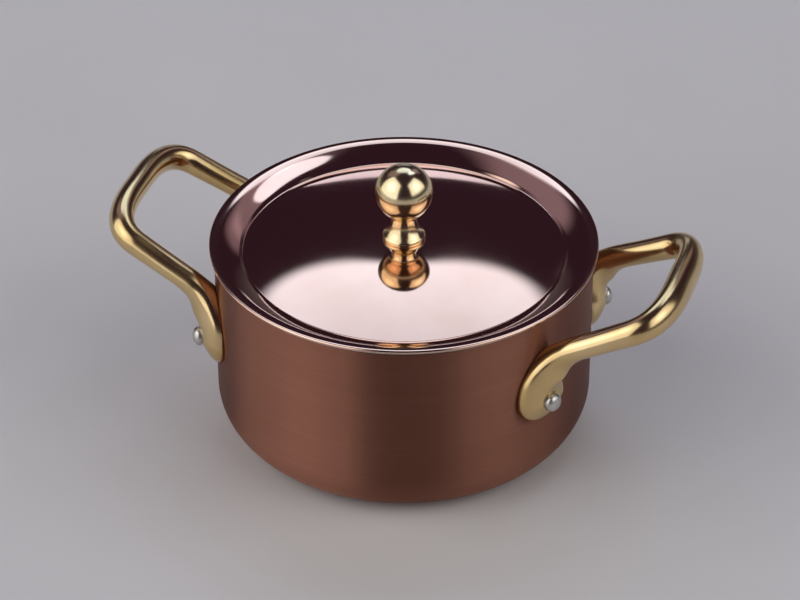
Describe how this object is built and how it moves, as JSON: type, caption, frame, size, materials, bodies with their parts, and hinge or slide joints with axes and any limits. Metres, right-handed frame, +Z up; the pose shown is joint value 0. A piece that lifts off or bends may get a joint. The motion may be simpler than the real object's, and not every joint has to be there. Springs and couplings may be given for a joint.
{
  "type": "mini cocotte",
  "caption": "Small round copper casserole pot with straight sides, riveted brass loop handles and a domed lift-off lid with a brass ball knob, for baking and serving one portion.",
  "frame": {"origin": "centre of the pot's flat base, on the surface that it stands on", "axes": "+Z up along the pot's axis, X through the middles of the handles, Y across them"},
  "size_m": [0.1446, 0.0944, 0.0715],
  "materials": {
    "satin_copper": "satin, brushed round the wall",
    "polished_copper": "mirror polished",
    "lining_steel": "satin",
    "cast_brass": "polished",
    "turned_brass": "mirror polished",
    "rivet_steel": "satin",
    "screw_steel": "satin"
  },
  "bodies": {
    "pot": {"pot_body": "satin_copper", "pot_lining": "lining_steel", "handle_right": "cast_brass", "handle_left": "cast_brass", "rivet_right_front": "rivet_steel", "rivet_right_back": "rivet_steel", "rivet_left_front": "rivet_steel", "rivet_left_back": "rivet_steel"},
    "lid": {"lid_shell": "polished_copper", "lid_lining": "lining_steel", "lid_knob": "turned_brass", "knob_washer": "screw_steel", "knob_screw": "screw_steel"}
  },
  "joints": [
    {"name": "lid_lift", "type": "slide", "parent": "pot", "child": "lid", "axis": [0, 0, 1], "range_m": [0, 0.08]}
  ]
}
